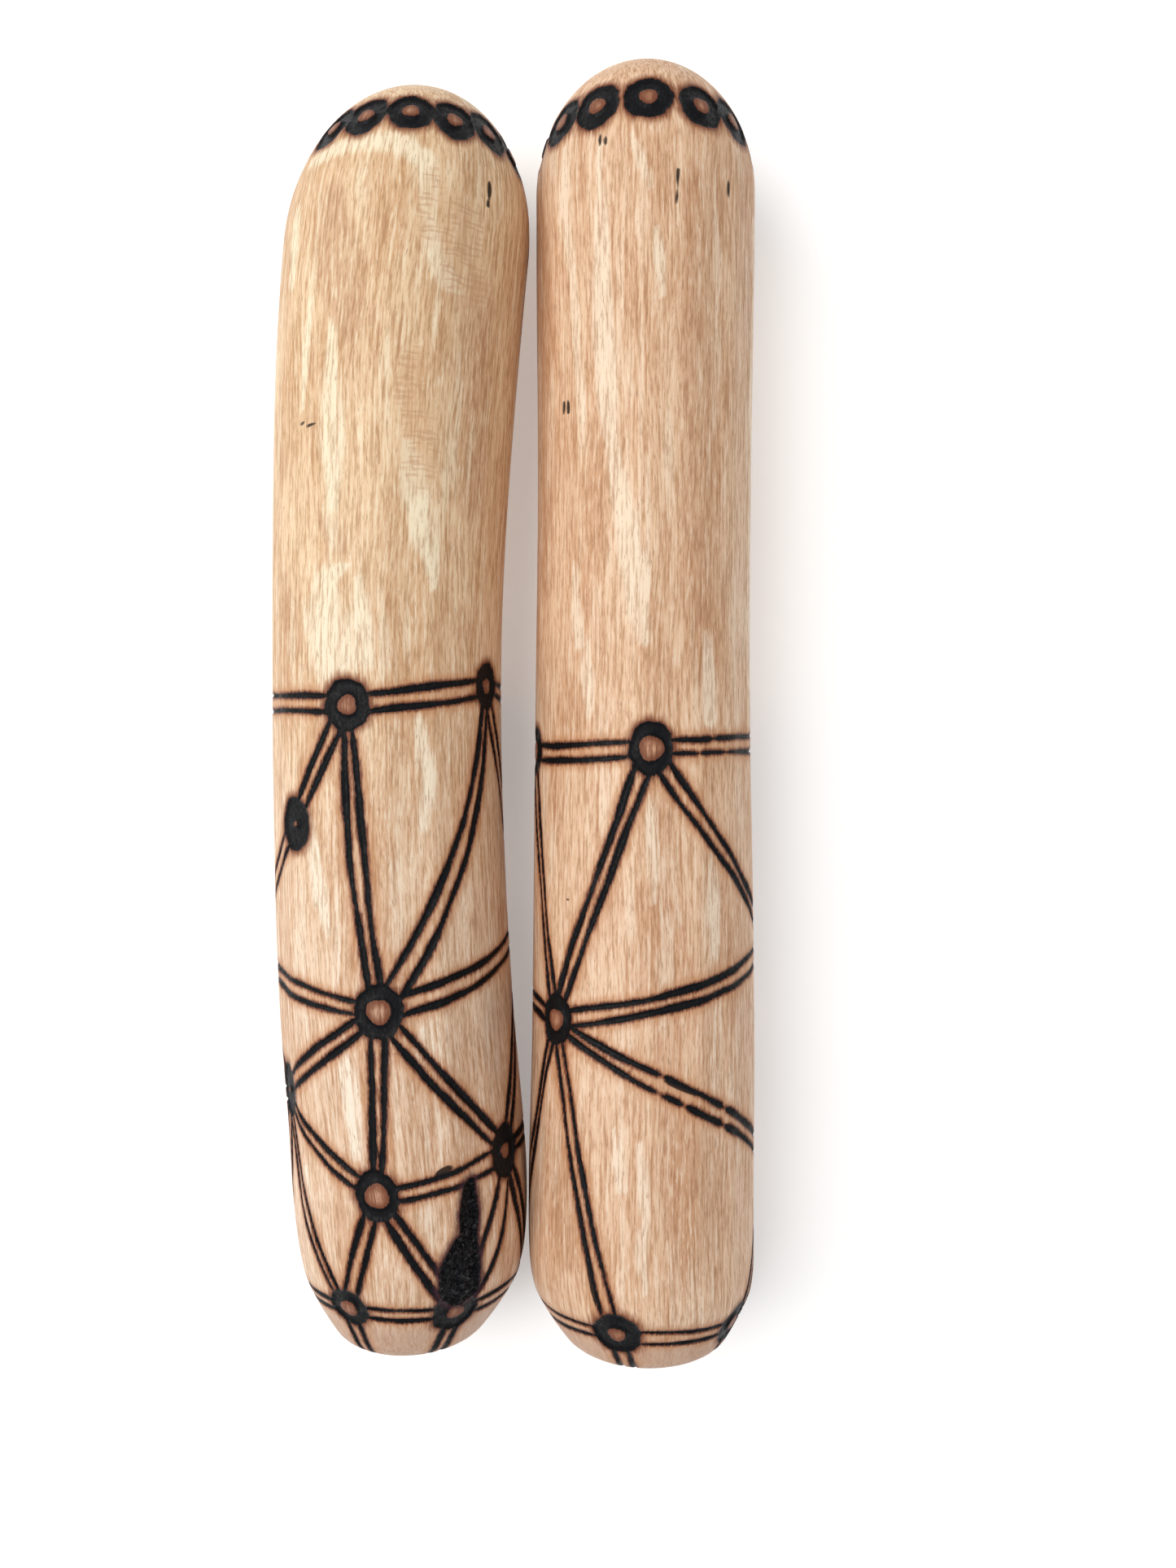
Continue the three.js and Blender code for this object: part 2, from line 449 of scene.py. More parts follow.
def noseStrokes(shape, rings):
    # double lines from each ring of the nose down to the ring on its tip
    strokes = []
    tip = {"travel": 0, "half": (3.2, 3.2)}
    for name, ring in rings.items():
        if not name.startswith("nose"):
            continue
        for sideSign in (-1, 1):
            def offset(t, sign=sideSign):
                return sign * np.interp(t, (0, 1), (1.3, 0.8))
            end = {**tip, "around": ring["around"]}
            points, half = strokePath(shape, ring, end, offset, 0, burning["lineWidth"])
            strokes.append((points, half, np.full(len(half), burning["lineDepth"])))
    return strokes


def fleckStrokes(shape):
    strokes = []
    for along, around, length, width, lean in shape["flecks"]:
        t = np.linspace(-0.5, 0.5, 9)
        travel = travelAt(shape, along) + t * length * math.cos(math.radians(lean))
        radius = np.interp(travel, shape["outline"][0], shape["outline"][2])
        turn = around + np.degrees(t * length * math.sin(math.radians(lean)) / radius)
        half = width / 2 * np.sqrt(np.clip(1 - (2 * t) ** 2, 0.05, 1))
        strokes.append((onSurface(shape, travel, turn), half, np.full(9, burning["fleckDepth"])))
    return strokes


def crustStroke(shape):
    if not shape["crust"]:
        return None
    stations = np.array(shape["crust"], float)
    t = np.linspace(0, len(stations) - 1, 60)
    along, around, half = (np.interp(t, range(len(stations)), stations[:, i]) for i in range(3))
    travel = np.interp(along, shape["outline"][1], shape["outline"][0])
    return onSurface(shape, travel, around), half


def strokeDistance(strokes, places):
    # signed distance to the nearest stroke's edge, and that stroke's depth there
    points = np.concatenate([s[0] for s in strokes])
    half = np.concatenate([s[1] for s in strokes])
    depth = np.concatenate([s[2] for s in strokes])
    last = np.concatenate([np.arange(len(s[1])) == len(s[1]) - 1 for s in strokes])
    first = np.concatenate([np.arange(len(s[1])) == 0 for s in strokes])
    tree = kdtree.KDTree(len(points))
    for i, point in enumerate(points):
        tree.insert(point, i)
    tree.balance()
    nearest = np.array([tree.find(place)[1] for place in places])
    best = np.full(len(places), 1e9)
    for step, stop in ((1, last), (-1, first)):
        other = np.where(stop[nearest], nearest, nearest + step)
        a, b = points[nearest], points[other]
        ab = b - a
        lengthSquared = np.maximum((ab ** 2).sum(1), 1e-9)
        t = np.clip(((places - a) * ab).sum(1) / lengthSquared, 0, 1)
        gap = np.linalg.norm(places - a - ab * t[:, None], axis=1)
        width = half[nearest] * (1 - t) + half[other] * t
        best = np.minimum(best, gap - width)
    return best, depth[nearest]


def ringDistance(rings, places):
    edge = np.full(len(places), 1e9)
    inHole = np.zeros(len(places))
    for ring in rings:
        offset = places - ring["centre"]
        near = np.flatnonzero((offset ** 2).sum(1) < 14 ** 2)
        if len(near) == 0:
            continue
        u, v = offset[near] @ ring["sideways"], offset[near] @ ring["ahead"]
        angle = np.arctan2(v, u)
        radius = np.hypot(u, v) + 1e-9
        phase = ring["phase"]
        uneven = (1 + 0.035 * np.sin(2 * angle + phase) + 0.025 * np.sin(5 * angle + 2 * phase)
                  + 0.015 * np.sin(11 * angle - phase))
        outer = uneven / np.hypot(np.cos(angle) / ring["half"][0], np.sin(angle) / ring["half"][1])
        inner = ring["hole"] * (1 + 0.06 * np.sin(3 * angle - phase))
        gap = np.maximum(radius - outer, inner - radius)
        edge[near] = np.minimum(edge[near], gap)
        inHole[near] = np.maximum(inHole[near], smooth((inner - radius) / 0.5 + 0.5))
    return edge, inHole


def thickDistance(stroke, places):
    if stroke is None:
        return np.full(len(places), 1e9)
    points, half = stroke
    best = np.full(len(places), 1e9)
    for point, width in zip(points, half):
        best = np.minimum(best, np.linalg.norm(places - point, axis=1) - width)
    return best


def marksOn(shape):
    rings = {name: ringFrame(shape, ring) for name, ring in shape["rings"].items()}
    tipRing = ringFrame(shape, (0.05, 0, *burning["tipRing"]))   # on the axis, so it faces along the stick
    tipRing["centre"] = np.array([0.0, 0.0, 0.0])
    tipRing["ahead"] = np.array([0.0, 0.0, 1.0])
    tipRing["sideways"] = np.array([1.0, 0.0, 0.0])
    strokes = linkStrokes(shape, rings) + noseStrokes(shape, rings)
    return {"rings": list(rings.values()) + crownRings(shape) + [tipRing], "strokes": strokes,
            "flecks": fleckStrokes(shape), "crust": crustStroke(shape)}


def burntField(marks, places):
    lineEdge, lineDepth = strokeDistance(marks["strokes"], places)
    fleckEdge, fleckDepth = strokeDistance(marks["flecks"], places)
    ringEdge, inHole = ringDistance(marks["rings"], places)
    crustEdge = thickDistance(marks["crust"], places)
    wall = burning["wallWidth"]
    depth = np.maximum.reduce([
        lineDepth * smooth(-lineEdge / wall),
        burning["ringDepth"] * smooth(-ringEdge / wall),
        burning["crustDepth"] * smooth(-crustEdge / 0.8),
        fleckDepth * smooth(-fleckEdge / 0.2),
    ])
    # the wire runs over a ring's edge, but not over its disc
    onDisc = np.where(inHole > 0.5, np.minimum(ringEdge, 9), np.minimum(ringEdge, lineEdge))
    depth = np.where(inHole > 0.5, burning["ringDepth"] * smooth(-ringEdge / wall), depth)
    edge = np.minimum(onDisc, crustEdge)
    return edge, depth, inHole, crustEdge, ringEdge, fleckEdge


def through(stations, at):
    # a smooth curve through (place, value) stations
    places = np.array([s[0] for s in stations], float)
    values = np.array([s[1] for s in stations], float)
    slopes = np.gradient(values, places)
    i = np.clip(np.searchsorted(places, at, side="right") - 1, 0, len(places) - 2)
    span = places[i + 1] - places[i]
    t = np.clip((at - places[i]) / span, 0, 1)
    u = 1 - t
    return (values[i] * u * u * (1 + 2 * t) + slopes[i] * span * t * u * u
            + values[i + 1] * t * t * (3 - 2 * t) - slopes[i + 1] * span * t * t * u)


def carve(shape, places, normals, depth):
    # knife facets, scraper dimples and burnt grooves, then the bend and the flat underneath
    x, along, z = places.T
    radius = np.hypot(x, z)
    around = np.degrees(np.arctan2(x, z))
    body = smooth(along / 30) * smooth((shape["length"] - along) / 34)
    cut = np.zeros(len(places))
    soft = carving["facetSoftness"]
    for i, (facing, facetDepth) in enumerate(shape["facets"]):
        lean = facing + 2.5 * np.sin(along / 47 + i * 2.1)
        away = np.radians((around - lean + 180) % 360 - 180)
        facetDepth = facetDepth * (0.7 + 0.3 * np.sin(along / 31 + i * 1.7)) * body
        plane = (radius - facetDepth) / np.maximum(np.cos(away), 0.5)
        below = radius - plane
        cut = np.logaddexp(cut / soft, np.where(np.abs(away) < 1, below, -9) / soft) * soft
    cut = np.maximum(cut - soft * math.log(1 + len(shape["facets"]) * 0.3), 0)
    dimples = np.array([noise.noise(Vector((p[0] * 0.11, p[1] * 0.035, p[2] * 0.11))) for p in places])
    facing = np.abs((around - shape["neighbour"] + 180) % 360 - 180)
    pared = carving["pared"] * smooth((55 - facing) / 35) * body
    sink = cut + depth + pared - carving["dimple"] * dimples * body
    moved = places - normals * sink[:, None]

    _, alongs, radii = shape["outline"]
    onBody = np.clip(along, shape["shoulder"][0], shape["dome"][0])
    bodyRadius = np.interp(onBody, alongs, radii)
    low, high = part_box(shape["node"])
    height = moved[:, 2] + bodyRadius - carving["flatUnder"]
    softFlat = carving["flatSoftness"]
    height = np.where(height > 2, height, np.logaddexp(0, np.minimum(height, 2) / softFlat) * softFlat)
    middle = (low.x + high.x) / 2 / mm
    return np.stack([
        moved[:, 0] + middle + through(shape["bend"], along),
        moved[:, 1] + low.y / mm,
        np.maximum(height - softFlat * 0.02, 0),
    ], axis=1)


def grainPlace(shape, places):
    # where each place lies in the wood: the fibres follow the surface, and close in at both tips
    turn = np.arctan2(places[:, 0], places[:, 2])
    radius = np.hypot(places[:, 0], places[:, 2])
    widest = shape["belly"][1]
    share = np.clip(1 - radius / widest, 0, 1)
    even = widest * (1 - share ** 2.4)
    travel = np.interp(places[:, 1], shape["outline"][1], shape["outline"][0])
    return np.stack([even * np.sin(turn), travel, even * np.cos(turn)], axis=1)


def verticesOf(solid):
    solid.normal_update()
    places = np.array([v.co for v in solid.verts])
    normals = np.array([v.normal for v in solid.verts])
    return places, normals


def addValues(mesh, name, kind, values):
    attribute = mesh.attributes.new(name, kind, "POINT")
    field = "vector" if kind == "FLOAT_VECTOR" else "value"
    attribute.data.foreach_set(field, values.astype(np.float32).ravel())


def unrollMap(mesh, shape, places):
    # the surface unrolled from underneath, so that the grain and the marks aren't cut up
    layer = mesh.uv_layers.new(name="OFBake")
    travel = np.interp(places[:, 1], shape["outline"][1], shape["outline"][0]) / shape["outline"][0][-1]
    turn = (np.degrees(np.arctan2(places[:, 0], places[:, 2])) + 180) / 360
    onAxis = np.hypot(places[:, 0], places[:, 2]) < 1e-3
    onSeam = (turn < 1e-4) | (turn > 1 - 1e-4)
    for face in mesh.polygons:
        corners = list(face.vertices)
        plain = [turn[i] for i in corners if not (onAxis[i] or onSeam[i])]
        mean = sum(plain) / len(plain) if plain else 0.5
        for loop, i in zip(face.loop_indices, corners):
            u = mean if onAxis[i] else turn[i]
            if onSeam[i] and not onAxis[i]:
                u = 0.0 if mean < 0.5 else 1.0
            layer.data[loop].uv = (0.002 + 0.996 * u, 0.002 + 0.996 * travel[i])


def makeClave(shape, material):
    shape["outline"] = outlineOf(shape)
    marks = marksOn(shape)
    solid = turnedSolid(shape)
    places, normals = verticesOf(solid)
    edge, *rest = burntField(marks, places)
    solid.verts.ensure_lookup_table()
    near = np.minimum(edge, rest[-1]) < carving["fineReach"]
    fine = [e for e in solid.edges if near[e.verts[0].index] or near[e.verts[1].index]]
    bmesh.ops.subdivide_edges(solid, edges=fine, cuts=carving["fineCuts"], use_grid_fill=True)
    solid.verts.index_update()
    places, normals = verticesOf(solid)
    edge, depth, inHole, crustEdge, ringEdge, fleckEdge = burntField(marks, places)
    rough = np.array([noise.noise(Vector(p) * 0.85) + 0.6 * noise.noise(Vector(p) * 1.9) for p in places])
    crust = smooth(-crustEdge / 0.6)
    depth = depth * (1 + 0.12 * rough) + crust * 0.4 * rough
    shaped = carve(shape, places, normals, depth)
    for vert, place in zip(solid.verts, shaped):
        vert.co = Vector(place) * mm
    mesh = bpy.data.meshes.new(shape["node"] + "_carved")
    solid.to_mesh(mesh)
    solid.free()
    grain = grainPlace(shape, places)
    sideways = np.arctan2(places[:, 0], places[:, 2]) * shape["belly"][1]
    unrolled = np.stack([grain[:, 1], sideways], axis=1)
    addValues(mesh, "woodPlace", "FLOAT_VECTOR", grain)
    addValues(mesh, "paleStreaksAndFacetHighlights", "FLOAT", streaksOn(shape, "paleStreaksAndFacetHighlights", unrolled))
    addValues(mesh, "tanStreaksAndFacetShade", "FLOAT", streaksOn(shape, "tanStreaksAndFacetShade", unrolled))
    addValues(mesh, "burntEdge", "FLOAT", np.clip(edge, -3, 6))
    addValues(mesh, "scorchedDisc", "FLOAT", inHole)
    addValues(mesh, "crustEdge", "FLOAT", np.clip(crustEdge, -3, 6))
    addValues(mesh, "ringEdge", "FLOAT", np.clip(ringEdge, -3, 6))
    addValues(mesh, "fleckEdge", "FLOAT", np.clip(fleckEdge, -3, 6))
    addValues(mesh, "chatterMarks", "FLOAT", chatterOn(shape, places))
    unrollMap(mesh, shape, places)
    mesh.shade_smooth()
    mesh.materials.append(material)
    piece = bpy.data.objects.new(shape["node"] + "_carved", mesh)
    bpy.context.scene.collection.objects.link(piece)
    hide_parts(shape["node"])
    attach(piece, shape["node"])
    triangles = sum(len(face.vertices) - 2 for face in mesh.polygons)
    print(shape["node"], "carved:", len(mesh.vertices), "vertices,", triangles, "triangles")


def streaksOn(shape, kind, unrolled):
    # how far inside a streak each place lies: 1 in its middle, 0.5 at its edge
    inside = np.zeros(len(unrolled))
    for streak in shape[kind]:
        knots = [np.array([travelAt(shape, along), math.radians(around) * shape["belly"][1]])
                 for along, around, _ in streak]
        for i in range(len(streak) - 1):
            a, b = knots[i], knots[i + 1]
            t = np.clip((unrolled - a) @ (b - a) / max((b - a) @ (b - a), 1e-6), 0, 1)
            gap = np.linalg.norm(unrolled - a - t[:, None] * (b - a), axis=1)
            width = streak[i][2] * (1 - t) + streak[i + 1][2] * t
            inside = np.maximum(inside, 1.5 - gap / width)
    return np.clip(inside, 0, 1)


def chatterOn(shape, places):
    # patches where the blade chattered across the grain
    marked = np.zeros(len(places))
    around = np.degrees(np.arctan2(places[:, 0], places[:, 2]))
    for along, facing, halfLength, halfTurn in shape["chatter"]:
        reach = np.hypot((places[:, 1] - along) / halfLength, (around - facing) / halfTurn)
        marked = np.maximum(marked, smooth(1.3 - reach))
    return marked


woodLook = {
    "tan": (0.66, 0.415, 0.235),
    "paleTan": (0.80, 0.575, 0.365),
    "cream": (0.92, 0.80, 0.59),
    "rosyTan": (0.67, 0.425, 0.275),
    "rosyPale": (0.80, 0.585, 0.42),
    "rosyCream": (0.92, 0.80, 0.66),
    "deepTan": (0.54, 0.31, 0.18),
    "fibreShade": (0.72, 0.64, 0.57),
    "pore": (0.38, 0.235, 0.15),
    "scorch": (0.50, 0.225, 0.10),
    "halo": (0.17, 0.055, 0.028),
    # painted shade for the nose end, which curves away from the light
    "noseShade": (0.50, 0.31, 0.22),
    "disc": (0.43, 0.19, 0.105),
    "pitMark": (0.014, 0.009, 0.007),
    "char": (0.0022, 0.0025, 0.0036),
    "charGrey": (0.008, 0.009, 0.012),
    "crustRim": (0.060, 0.022, 0.030),
    "shine": 0.16,
    "roughness": (0.42, 0.56),
    "charRoughness": (0.42, 0.66),
    "chatterStep": 1.05,      # mm from one chatter stroke to the next
    "fibreRelief": 0.022,     # mm
    "charRelief": 0.085,      # mm
}

grainSize = {               # of each noise: mm across the grain and along it
    "straightFibres": (0.42, 9),
    "shortFibres": (0.26, 2.4),
    "longFibres": (0.8, 15),
    "patches": (7, 38),
    "creams": (3.0, 30),
    "pores": (0.24, 2.0),
    "tears": (0.3, 1.1),
    "licks": (0.45, 3.2),
    "brushed": (0.5, 0.9),
}


def addNode(tree, kind, inputs=None, **settings):
    node = tree.nodes.new(kind)
    for key, value in settings.items():
        setattr(node, key, value)
    for key, value in (inputs or {}).items():
        if isinstance(value, bpy.types.NodeSocket):
            tree.links.new(value, node.inputs[key])
        else:
            node.inputs[key].default_value = value
    return node


def calc(tree, operation, a, b=0.0, c=0.0):
    return addNode(tree, "ShaderNodeMath", {0: a, 1: b, 2: c}, operation=operation).outputs[0]


def ragged(tree, edge, roughening, share):
    # an edge, or a patch's cover, moved in and out by a noise
    return calc(tree, "MULTIPLY_ADD", calc(tree, "SUBTRACT", roughening, 0.5), share, edge)


def mixColour(tree, factor, a, b, blend="MIX"):
    node = addNode(tree, "ShaderNodeMix", data_type="RGBA", blend_type=blend)
    for socket, value in ((0, factor), (6, a), (7, b)):
        if isinstance(value, bpy.types.NodeSocket):
            tree.links.new(value, node.inputs[socket])
        else:
            node.inputs[socket].default_value = value if socket == 0 else (*value, 1)
    return node.outputs[2]


def remap(tree, value, low, high, toLow=0.0, toHigh=1.0):
    return addNode(tree, "ShaderNodeMapRange", {0: value, 1: low, 2: high, 3: toLow, 4: toHigh},
                   interpolation_type="SMOOTHSTEP").outputs[0]


def grainNoise(tree, place, across, along, detail=3.0, roughness=0.55, distortion=0.0, seed=0.0):
    # noise that is "across" mm wide and "along" mm long
    stretched = addNode(tree, "ShaderNodeMapping", {
        "Vector": place, "Location": (seed, seed * 0.7, -seed),
        "Scale": (1 / across, 1 / along, 1 / across)})
    node = addNode(tree, "ShaderNodeTexNoise", {
        "Vector": stretched.outputs[0], "Scale": 1.0, "Detail": detail, "Roughness": roughness,
        "Distortion": distortion})
    return node.outputs[0]


def valueOf(tree, name, socket="Fac"):
    return addNode(tree, "ShaderNodeAttribute", attribute_name=name).outputs[socket]


def wanderingPlace(tree, seed):
    # the wood's own place, with the grain wandering a little along the stick
    place = valueOf(tree, "woodPlace", "Vector")
    slow = addNode(tree, "ShaderNodeMapping", {"Vector": place, "Location": (seed, 0, 0),
                                               "Scale": (0.05, 0.02, 0.05)})
    drift = addNode(tree, "ShaderNodeTexNoise", {"Vector": slow.outputs[0], "Scale": 1.0, "Detail": 2.0})
    centred = addNode(tree, "ShaderNodeVectorMath", {0: drift.outputs[1], 1: (0.5, 0.5, 0.5)},
                      operation="SUBTRACT")
    scaled = addNode(tree, "ShaderNodeVectorMath", {0: centred.outputs[0], 1: (3, 0, 3)},
                     operation="MULTIPLY")
    moved = addNode(tree, "ShaderNodeVectorMath", {0: place, 1: scaled.outputs[0]}, operation="ADD")
    return moved.outputs[0]


def fringed(tree, patch, fibres, share, low, high, strength=1.0):
    # a patch whose edge breaks up into fibres
    return remap(tree, ragged(tree, patch, fibres, share), low, high, 0, strength)


def plainWood(tree, place, tone, tint):
    look = woodLook
    straight = grainNoise(tree, place, *grainSize["straightFibres"], 1, 0.5, 0.0, 5 + tone * 5)
    short = grainNoise(tree, place, *grainSize["shortFibres"], 2, 0.6, 0.0, 25 + tone * 5)
    fibres = calc(tree, "MULTIPLY_ADD", short, 0.55, calc(tree, "MULTIPLY", straight, 0.45))
    longFibres = grainNoise(tree, place, *grainSize["longFibres"], 3, 0.6, 0.0, tone * 17)
    patches = grainNoise(tree, place, *grainSize["patches"], 3, 0.5, 0.0, tone * 40)
    creams = grainNoise(tree, place, *grainSize["creams"], 3, 0.5, 0.0, 60 + tone * 31)
    pores = grainNoise(tree, place, *grainSize["pores"], 2, 0.5, 0.0, 33)
    along = addNode(tree, "ShaderNodeSeparateXYZ", {0: place}).outputs[1]
    rosy = remap(tree, along, 175, 60, 0.75 * tone, 1.0)
    tan = mixColour(tree, rosy, look["tan"], look["rosyTan"])
    pale = mixColour(tree, rosy, look["paleTan"], look["rosyPale"])
    cream = mixColour(tree, rosy, look["cream"], look["rosyCream"])
    colour = mixColour(tree, fringed(tree, patches, longFibres, 0.7, 0.30, 0.66), tan, pale)
    # tan streaks in the wood, and painted shade on some facets of the straight stick
    tanAndShadedHere = fringed(tree, valueOf(tree, "tanStreaksAndFacetShade"), longFibres, 1.4, 0.1, 1.0, 0.5)
    colour = mixColour(tree, tanAndShadedHere, colour, look["deepTan"])
    colour = mixColour(tree, fringed(tree, creams, longFibres, 0.7, 0.53, 0.70, 0.45), colour, cream)
    # pale streaks in the wood, and painted highlights on facets of the straight stick
    paleAndHighlitHere = fringed(tree, valueOf(tree, "paleStreaksAndFacetHighlights"), longFibres, 1.5, 0.2, 0.95, 0.85)
    colour = mixColour(tree, paleAndHighlitHere, colour, cream)
    colour = mixColour(tree, remap(tree, longFibres, 0.47, 0.3, 0, 0.4), colour, look["deepTan"])
    colour = mixColour(tree, remap(tree, fibres, 0.53, 0.38), colour, look["fibreShade"], "MULTIPLY")
    colour = mixColour(tree, remap(tree, fibres, 0.53, 0.66, 0, 0.55), colour, cream)
    colour = mixColour(tree, remap(tree, pores, 0.35, 0.28, 0, 0.6), colour, look["pore"])
    colour = mixColour(tree, 1.0, colour, tint, "MULTIPLY")
    return colour, fibres, longFibres, pores


def claveFinish(name, tone, tint):
    look = woodLook
    material = bpy.data.materials.new(name)
    material.use_nodes = True
    tree = material.node_tree
    shader = next(n for n in tree.nodes if n.type == "BSDF_PRINCIPLED")
    place = wanderingPlace(tree, tone * 7)
    colour, fibres, streaks, pores = plainWood(tree, place, tone, tint)

    # chatter marks: short strokes across the grain
    length = addNode(tree, "ShaderNodeSeparateXYZ", {0: place}).outputs[1]
    jitter = grainNoise(tree, place, 3.0, 1.1, 2, 0.6, 0, 12)
    jitter = calc(tree, "MULTIPLY", jitter, 11)
    ripple = calc(tree, "SINE", calc(tree, "MULTIPLY_ADD", length, math.tau / look["chatterStep"], jitter))
    broken = remap(tree, grainNoise(tree, place, 2.4, 2.0, 2, 0.5, 0, 3), 0.40, 0.56)
    inChatter = fringed(tree, valueOf(tree, "chatterMarks"), streaks, 1.2, 0.25, 0.7)
    strokes = calc(tree, "MULTIPLY", inChatter, broken)
    chatter = calc(tree, "MULTIPLY", strokes, remap(tree, ripple, -0.5, 0.9))
    colour = mixColour(tree, calc(tree, "MULTIPLY", inChatter, 0.35), colour, look["tan"])
    colour = mixColour(tree, calc(tree, "MULTIPLY", chatter, 0.5), colour, look["deepTan"])

    # the burnt edge is ragged along the grain, with a scorched halo outside it
    tears = grainNoise(tree, place, *grainSize["tears"], 3, 0.6, 0, 21)
    edge = ragged(tree, valueOf(tree, "burntEdge"), tears, 0.62)
    char = remap(tree, edge, 0.06, -0.10)
    fleck = remap(tree, valueOf(tree, "fleckEdge"), 0.2, -0.08, 0, 0.95)
    inDisc = valueOf(tree, "scorchedDisc")
    licks = grainNoise(tree, place, *grainSize["licks"], 2, 0.5, 0, 71)
    farHalo = remap(tree, ragged(tree, edge, licks, 2.0), 1.9, 0.2, 0, 0.66)
    nearHalo = remap(tree, ragged(tree, edge, licks, 0.7), 0.72, 0.0)
    ringHeat = remap(tree, ragged(tree, valueOf(tree, "ringEdge"), licks, 2.2), 1.7, -0.1, 0, 0.75)
    ringHalo = calc(tree, "MULTIPLY", ringHeat, calc(tree, "SUBTRACT", 1.0, inDisc))
    # painted shade: the nose end is darkened and warmed towards its tip, where it curves away from the light
    colour = mixColour(tree, remap(tree, length, 26, 19, 0, 0.65), colour, look["noseShade"])
    colour = mixColour(tree, farHalo, colour, look["scorch"])
    colour = mixColour(tree, ringHalo, colour, look["halo"])
    colour = mixColour(tree, calc(tree, "MULTIPLY", inDisc, 0.62), colour, look["disc"])
    discFibres = calc(tree, "MULTIPLY", inDisc, remap(tree, fibres, 0.56, 0.38, 0, 0.7))
    colour = mixColour(tree, discFibres, colour, look["halo"])
    discShade = calc(tree, "MULTIPLY", inDisc, remap(tree, edge, 1.8, 0.1, 0, 0.9))
    colour = mixColour(tree, discShade, colour, look["halo"])
    colour = mixColour(tree, calc(tree, "POWER", nearHalo, 1.4), colour, look["halo"])

    # char: blue-black, brushed and crackled, with a glossier crust in the deep patch
    brushed = grainNoise(tree, place, *grainSize["brushed"], 4, 0.7, 0, 51)
    crustEdge = valueOf(tree, "crustEdge")
    crackle = addNode(tree, "ShaderNodeTexVoronoi", {"Vector": place, "Scale": 0.8, "Randomness": 1.0},
                      feature="DISTANCE_TO_EDGE").outputs[0]
    crust = remap(tree, ragged(tree, crustEdge, tears, 1.6), 0.2, -0.3)
    charColour = mixColour(tree, remap(tree, brushed, 0.48, 0.72), look["char"], look["charGrey"])
    rim = remap(tree, calc(tree, "MULTIPLY_ADD", tears, 1.4, crustEdge), 2.2, 0.5, 0, 0.85)
    rim = calc(tree, "MULTIPLY", rim, calc(tree, "SUBTRACT", 1.0, crust))
    colour = mixColour(tree, fleck, colour, look["pitMark"])
    colour = mixColour(tree, char, colour, charColour)
    colour = mixColour(tree, rim, colour, look["crustRim"])
    tree.links.new(colour, shader.inputs["Base Color"])

    woodRough = remap(tree, fibres, 0.3, 0.7, look["roughness"][1], look["roughness"][0])
    charRough = remap(tree, brushed, 0.35, 0.65, look["charRoughness"][1], look["charRoughness"][0])
    charRough = calc(tree, "MULTIPLY_ADD", crust, -0.3, charRough)
    shader.inputs["Specular IOR Level"].default_value = look["shine"]
    rough = addNode(tree, "ShaderNodeMix", {0: char, 2: woodRough, 3: charRough}, data_type="FLOAT")
    tree.links.new(rough.outputs[0], shader.inputs["Roughness"])

    woodHeight = calc(tree, "MULTIPLY", fibres, look["fibreRelief"])
    woodHeight = calc(tree, "MULTIPLY_ADD", chatter, -0.03, woodHeight)
    woodHeight = calc(tree, "MULTIPLY_ADD", remap(tree, pores, 0.33, 0.27), -0.02, woodHeight)
    charHeight = calc(tree, "MULTIPLY", brushed, look["charRelief"])
    crustHeight = calc(tree, "MULTIPLY", remap(tree, crackle, 0.0, 0.25), 0.3)
    charHeight = calc(tree, "MULTIPLY_ADD", crust, crustHeight, charHeight)
    height = addNode(tree, "ShaderNodeMix", {0: char, 2: woodHeight, 3: charHeight}, data_type="FLOAT")
    bump = addNode(tree, "ShaderNodeBump", {"Height": height.outputs[0], "Strength": 1.0, "Distance": mm})
    tree.links.new(bump.outputs[0], shader.inputs["Normal"])
    return material


studio = {
    "cameraHeight": 0.2437,
    "cameraShift": (0.0133, -0.01325),     # of the camera from the middle of the pair
    "lens": 28,
    "floorWhite": 0.9,
    "floorGlow": 0.28,
    "keyPlace": (-0.62, 0.22, 1.0),
    "keySize": 1.1,
    "keyPower": 13.7,
    "fillPlace": (0.9, -0.3, 0.9),
    "fillSize": 1.2,
    "fillPower": 3.5,
    "skyStrength": 0.33,
}


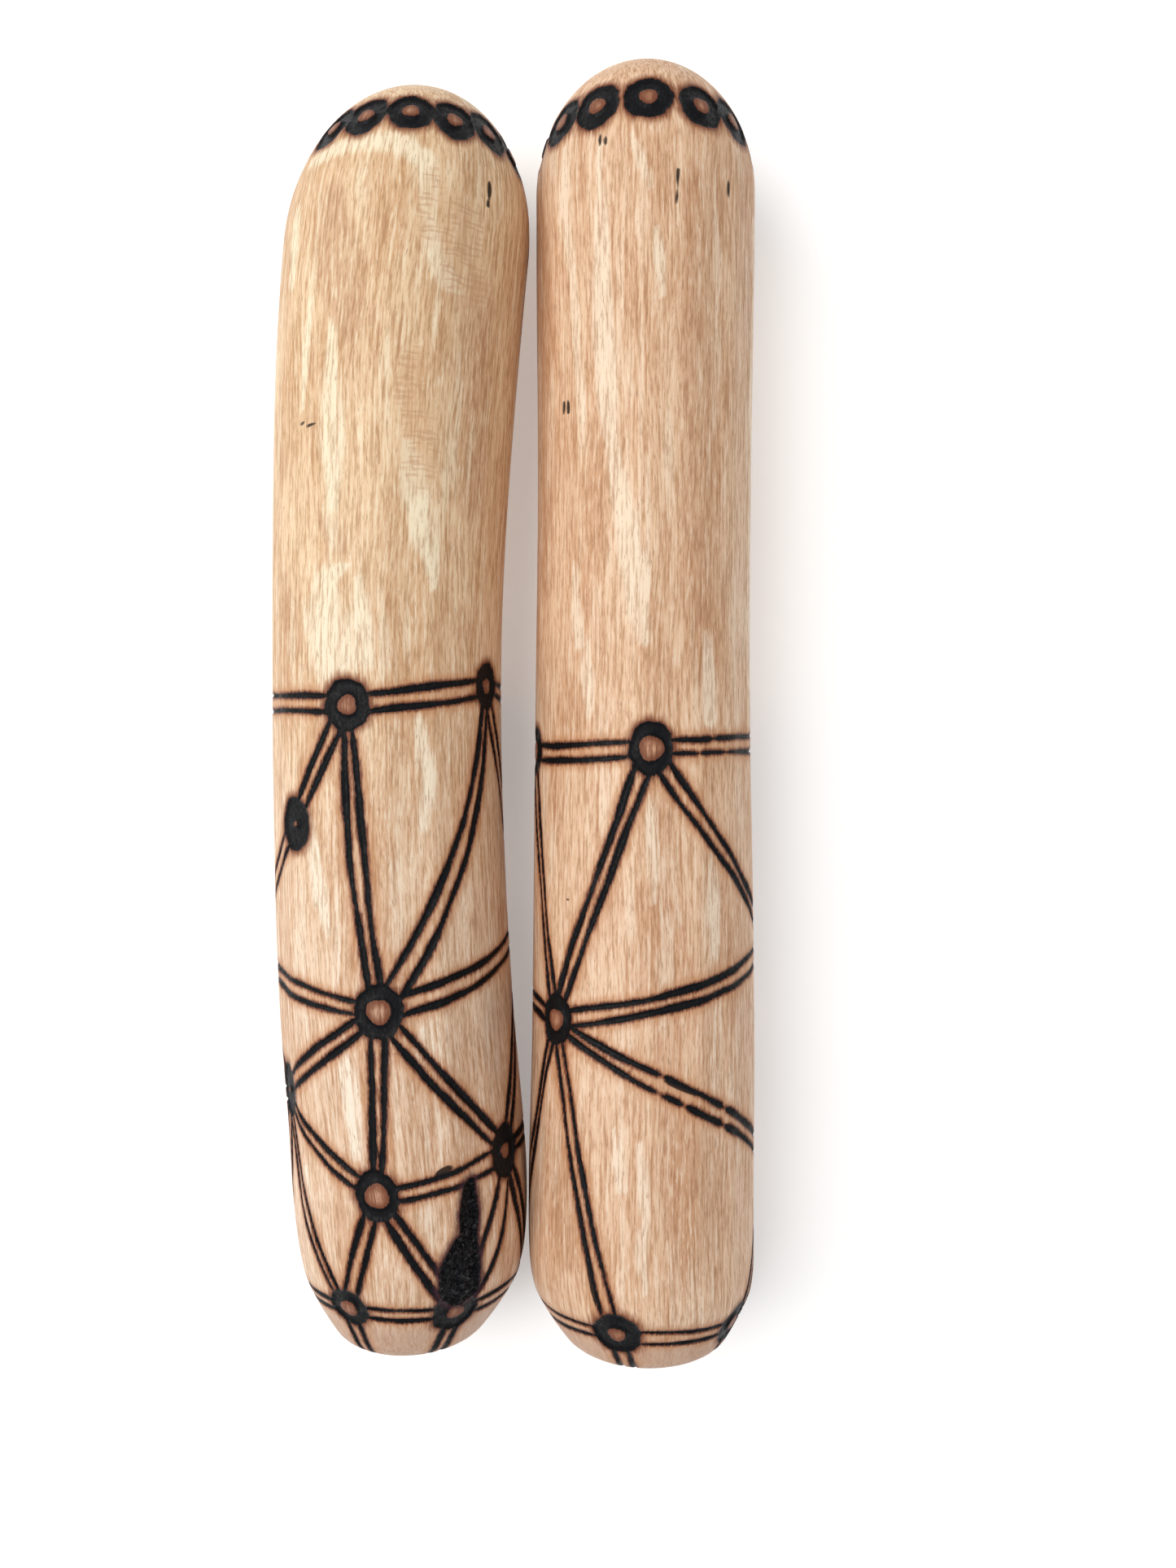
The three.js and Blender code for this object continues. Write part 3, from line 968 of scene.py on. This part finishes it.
def softLight(name, place, size, power, colour):
    lamp = bpy.data.lights.new(name, "AREA")
    lamp.size = size
    lamp.energy = power
    lamp.color = colour
    holder = bpy.data.objects.new(name, lamp)
    holder.location = place
    holder.rotation_euler = (-Vector(place)).to_track_quat("-Z", "Y").to_euler()
    bpy.context.scene.collection.objects.link(holder)


def makeFloor():
    sheet = bmesh.new()
    bmesh.ops.create_grid(sheet, x_segments=2, y_segments=2, size=2)
    mesh = bpy.data.meshes.new("floor")
    sheet.to_mesh(mesh)
    sheet.free()
    paper = bpy.data.materials.new("paleFloor")
    paper.use_nodes = True
    shader = next(n for n in paper.node_tree.nodes if n.type == "BSDF_PRINCIPLED")
    shader.inputs["Base Color"].default_value = (studio["floorWhite"],) * 3 + (1,)
    shader.inputs["Roughness"].default_value = 0.9
    shader.inputs["Emission Color"].default_value = (1, 1, 1, 1)
    shader.inputs["Emission Strength"].default_value = studio["floorGlow"]
    mesh.materials.append(paper)
    floor = bpy.data.objects.new("floor", mesh)
    bpy.context.scene.collection.objects.link(floor)


def makeStudio():
    middle = (cadBox[0] + cadBox[1]) / 2
    eye = bpy.data.cameras.new("camera")
    eye.lens = studio["lens"]
    eye.clip_start = 0.01
    camera = bpy.data.objects.new("camera", eye)
    camera.location = (middle.x + studio["cameraShift"][0], middle.y + studio["cameraShift"][1],
                       studio["cameraHeight"])
    bpy.context.scene.collection.objects.link(camera)
    bpy.context.scene.camera = camera
    softLight("keyLight", studio["keyPlace"], studio["keySize"], studio["keyPower"], (1.0, 0.985, 0.96))
    softLight("fillLight", studio["fillPlace"], studio["fillSize"], studio["fillPower"], (0.96, 0.98, 1.0))
    world = bpy.data.worlds.new("studio")
    world.use_nodes = True
    world.node_tree.nodes["Background"].inputs[0].default_value = (1, 1, 1, 1)
    world.node_tree.nodes["Background"].inputs[1].default_value = studio["skyStrength"]
    bpy.context.scene.world = world
    bpy.context.scene.view_settings.view_transform = "Standard"


makeStudio()
makeFloor()
print("studio ready")
for shape in (curvedClave, straightClave):
    finish = claveFinish(shape["node"] + "_wood", shape["tone"], shape["tint"])
    makeClave(shape, finish)
print("both claves carved and burnt")
